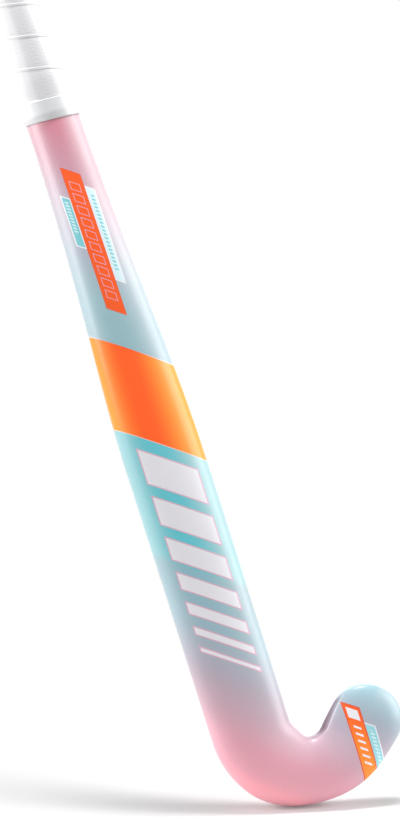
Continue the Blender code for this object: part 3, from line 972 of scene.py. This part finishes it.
def perforations(g):
    """1 in small holes in rows round the handle and up it."""
    x, y, z = g.axes(g.position)
    around = g.math("MULTIPLY", g.math("ARCTAN2", x, y), HANDLE_WIDTH / 2)
    squares = []
    for along in (around, z):
        in_pitch = g.math("FRACT", g.math("DIVIDE", along, HOLE_PITCH))
        squares.append(g.math("POWER", g.math("SUBTRACT", in_pitch, 0.5), 2.0))
    from_middle = g.math("SQRT", g.math("ADD", *squares))
    return g.span(from_middle, HOLE_FLOOR, HOLE_RIM, 1.0, 0.0)


def make_grip_material():
    """White polyurethane tape with a fine pebbled grain and rows of small perforations."""
    g = Nodes("grip_tape_white", 0.62, Sheen_Weight=0.12, Sheen_Roughness=0.4)
    grain = g.add("ShaderNodeTexVoronoi", feature="SMOOTH_F1")
    g.put(grain.inputs["Vector"], g.position)
    grain.inputs["Scale"].default_value = PEBBLE_SCALE
    pebble = grain.outputs["Distance"]
    hole = perforations(g)
    tone = g.mix(g.noise(SOIL_SCALE, 3.0), GRIP_WORN, GRIP_CLEAN)
    # Painted shade along the middle of the back and of the face
    tone = g.mix(g.flat_on(), tone, GRIP_SHADED_MIDDLE)
    # Painted shade in the perforations
    tone = g.mix(g.math("MULTIPLY", hole, HOLE_SHADE), tone, HOLE_SHADE_TONE)
    g.feed("Base Color", tone)
    g.feed("Roughness", g.span(pebble, 0.2, 0.9, 0.55, 0.70))
    fine = g.bump(pebble, 0.00006, 0.5)
    pierced = g.bump(g.math("SUBTRACT", 1.0, hole), 0.00008, 0.6, fine)
    g.feed("Normal", g.bump(g.noise(DIMPLE_SCALE, 2.0), 0.0002, 0.35, pierced))
    return g.material


def make_tape_material():
    """Thin vinyl tape, faintly wrinkled along its stretch."""
    g = Nodes("vinyl_tape_white", 0.36, Coat_Weight=0.15, Coat_Roughness=0.2)
    stretch = g.add("ShaderNodeMapping")
    g.put(stretch.inputs["Vector"], g.position)
    stretch.inputs["Scale"].default_value = WRINKLE_STRETCH
    wrinkle = g.noise(WRINKLE_SCALE, 3.0, vector=stretch.outputs["Vector"])
    tone = g.mix(wrinkle, TAPE_DULL, TAPE_BRIGHT)
    # Painted shade along the middle of the back and of the face
    g.feed("Base Color", g.mix(g.flat_on(), tone, TAPE_SHADED_MIDDLE))
    g.feed("Roughness", g.span(wrinkle, 0.3, 0.7, 0.30, 0.42))
    g.feed("Normal", g.bump(wrinkle, 0.00012, 0.3))
    return g.material


def make_cap_material():
    """Moulded rubbery plastic with a spark-eroded texture."""
    g = Nodes("cap_plastic", 0.5)
    spark = g.noise(SPARK_SCALE, 2.0)
    tone = g.mix(g.noise(CAP_BLOTCH_SCALE), CAP_DULL, CAP_BRIGHT)
    g.feed("Base Color", tone)
    g.feed("Roughness", g.span(spark, 0.3, 0.7, 0.45, 0.58))
    g.feed("Normal", g.bump(spark, 0.00003, 0.6))
    return g.material


def dress_inner_nodes(laminate):
    """Gives the hidden nodes of the solid model their own materials."""
    core = make_foam("core_foam", CORE_LIGHT, CORE_DARK)
    plug = make_foam("plug_foam", PLUG_LIGHT, PLUG_DARK)
    looks = {"head_core": (core, "foam"), "handle_plug": (plug, "foam"),
             "inner_tube_heel_side": (laminate, "laminate"),
             "inner_tube_toe_side": (laminate, "laminate")}
    for name, (material, slot) in looks.items():
        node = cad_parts[name]
        node.data.materials.clear()
        node.data.materials.append(material)


# Stage. A surface that faces a light of level 1 shows its colour as it is written.
FLOOR_RADIUS = 7.0
FLOOR_LIT_RADIUS = 0.10
FLOOR_FADE_RADIUS = 0.35
FLOOR_PITCH = math.radians(14)
FLOOR_SHADE = 0.58
FLOOR_GLOW = 0.11
AMBIENT = 0.30
LIGHT_DISTANCE = 1.6
SIDE_LIGHT_SIZE = (1.2, 1.4)
TOP_LIGHT_SIZE = (0.5, 0.18)
FACE_LIGHT_SIZE = (1.4, 1.6)

# Softboxes: (name, level, azimuth from the camera, rise above the floor, size)
SOFTBOXES = [
    ("softbox_right", 1.18, 84, 12, SIDE_LIGHT_SIZE),
    ("softbox_left", 1.44, -74, 12, SIDE_LIGHT_SIZE),
    ("softbox_top", 0.95, 180, 83.3, TOP_LIGHT_SIZE),
    ("softbox_face", 0.50, 180, 4, FACE_LIGHT_SIZE),
]

FLOOR_UP = VIEW_UP * math.cos(FLOOR_PITCH) + VIEW_BACK * math.sin(FLOOR_PITCH)
FLOOR_FRONT = VIEW_BACK * math.cos(FLOOR_PITCH) - VIEW_UP * math.sin(FLOOR_PITCH)


def make_floor(lowest):
    """Plain pale floor under the leaning stick, which fades to plain white further out."""
    floor_mesh = bmesh.new()
    bmesh.ops.create_circle(floor_mesh, cap_ends=True, segments=96, radius=FLOOR_RADIUS)
    data = bpy.data.meshes.new("floor")
    floor_mesh.to_mesh(data)
    floor_mesh.free()
    floor = bpy.data.objects.new("floor", data)
    bpy.context.scene.collection.objects.link(floor)
    floor.matrix_world = Matrix.Translation(lowest) @ stage_turn(VIEW_RIGHT, -FLOOR_FRONT, FLOOR_UP)
    material = bpy.data.materials.new("floor_white")
    material.use_nodes = True
    tree = material.node_tree
    shader = tree.nodes["Principled BSDF"]
    shader.inputs["Roughness"].default_value = 0.9
    shader.inputs["Specular IOR Level"].default_value = 0.0
    shader.inputs["Emission Color"].default_value = (1.0, 1.0, 1.0, 1.0)
    place_on_floor = tree.nodes.new("ShaderNodeTexCoord")
    distance = tree.nodes.new("ShaderNodeVectorMath")
    distance.operation = "LENGTH"
    tree.links.new(place_on_floor.outputs["Object"], distance.inputs[0])

    def by_distance(near, far):
        """Value that turns smoothly from near the stick to far from it."""
        fade = tree.nodes.new("ShaderNodeMapRange")
        fade.interpolation_type = "SMOOTHSTEP"
        tree.links.new(distance.outputs["Value"], fade.inputs["Value"])
        fade.inputs["From Min"].default_value = FLOOR_LIT_RADIUS
        fade.inputs["From Max"].default_value = FLOOR_FADE_RADIUS
        fade.inputs["To Min"].default_value = near
        fade.inputs["To Max"].default_value = far
        return fade.outputs["Result"]

    tree.links.new(by_distance(FLOOR_SHADE, 0.0), shader.inputs["Base Color"])
    glow = tree.nodes.new("ShaderNodeMath")
    glow.operation = "MULTIPLY"
    tree.links.new(seen_directly(tree), glow.inputs[0])
    tree.links.new(by_distance(FLOOR_GLOW, 1.0), glow.inputs[1])
    tree.links.new(glow.outputs[0], shader.inputs["Emission Strength"])
    from_below = tree.nodes.new("ShaderNodeNewGeometry").outputs["Backfacing"]
    clear = tree.nodes.new("ShaderNodeBsdfTransparent")
    sided = tree.nodes.new("ShaderNodeMixShader")
    tree.links.new(from_below, sided.inputs[0])
    tree.links.new(shader.outputs[0], sided.inputs[1])
    tree.links.new(clear.outputs[0], sided.inputs[2])
    tree.links.new(sided.outputs[0], tree.nodes["Material Output"].inputs["Surface"])
    floor.data.materials.append(material)


def seen_directly(tree):
    """1 for camera, glossy and transmission rays."""
    path = tree.nodes.new("ShaderNodeLightPath")
    seen = path.outputs["Is Camera Ray"]
    for name in ("Is Glossy Ray", "Is Transmission Ray"):
        either = tree.nodes.new("ShaderNodeMath")
        either.operation = "MAXIMUM"
        tree.links.new(seen, either.inputs[0])
        tree.links.new(path.outputs[name], either.inputs[1])
        seen = either.outputs[0]
    return seen


def stage_turn(x_axis, y_axis, z_axis):
    """Rotation that gives an object these three axes."""
    return Matrix((x_axis, y_axis, z_axis)).transposed().to_4x4()


def make_world():
    """White all round to the eye and in reflections, and a plain soft light on the object."""
    world = bpy.data.worlds.new("studio")
    bpy.context.scene.world = world
    world.use_nodes = True
    tree = world.node_tree
    strength = tree.nodes.new("ShaderNodeMapRange")
    tree.links.new(seen_directly(tree), strength.inputs["Value"])
    strength.inputs["To Min"].default_value = AMBIENT
    strength.inputs["To Max"].default_value = 1.0
    background = tree.nodes["Background"]
    background.inputs["Color"].default_value = (1.0, 1.0, 1.0, 1.0)
    tree.links.new(strength.outputs["Result"], background.inputs["Strength"])


def make_light(name, level, azimuth, rise, size):
    """Softbox at an azimuth from the camera and a rise above the leaning stick's floor."""
    around, lift = math.radians(azimuth), math.radians(rise)
    outward = FLOOR_FRONT * math.cos(around) + VIEW_RIGHT * math.sin(around)
    away = outward * math.cos(lift) + FLOOR_UP * math.sin(lift)
    across = VIEW_RIGHT * math.cos(around) - FLOOR_FRONT * math.sin(around)
    data = bpy.data.lights.new(name, "AREA")
    data.shape = "RECTANGLE"
    data.size, data.size_y = size
    data.energy = level * math.pi ** 2 * LIGHT_DISTANCE ** 2
    light = bpy.data.objects.new(name, data)
    bpy.context.scene.collection.objects.link(light)
    place_at = VIEW_AIM + away * LIGHT_DISTANCE
    light.matrix_world = Matrix.Translation(place_at) @ stage_turn(across, away.cross(across), away)
    light.visible_camera = False


def make_camera():
    """The photograph's view: square on to the back, rolled so that the stick leans."""
    data = bpy.data.cameras.new("camera")
    camera = bpy.data.objects.new("camera", data)
    bpy.context.scene.collection.objects.link(camera)
    data.sensor_width = 36.0
    data.lens = data.sensor_width * CAMERA_DISTANCE / VIEW_HEIGHT
    data.clip_end = 4 * FLOOR_RADIUS
    place_at = VIEW_AIM + VIEW_BACK * CAMERA_DISTANCE
    camera.matrix_world = Matrix.Translation(place_at) @ stage_turn(VIEW_RIGHT, VIEW_UP, VIEW_BACK)
    bpy.context.scene.camera = camera


make_camera()
laminate = make_laminate("carbon_laminate")
shell = make_shell(make_paint(), laminate)
make_grip(make_grip_material())
make_finishing_tape(make_tape_material())
make_butt_cap(make_cap_material())
dress_inner_nodes(laminate)

make_floor(min((vertex.co for vertex in shell.data.vertices), key=FLOOR_UP.dot))
make_world()
for softbox in SOFTBOXES:
    make_light(*softbox)
bpy.context.scene.view_settings.view_transform = "Standard"
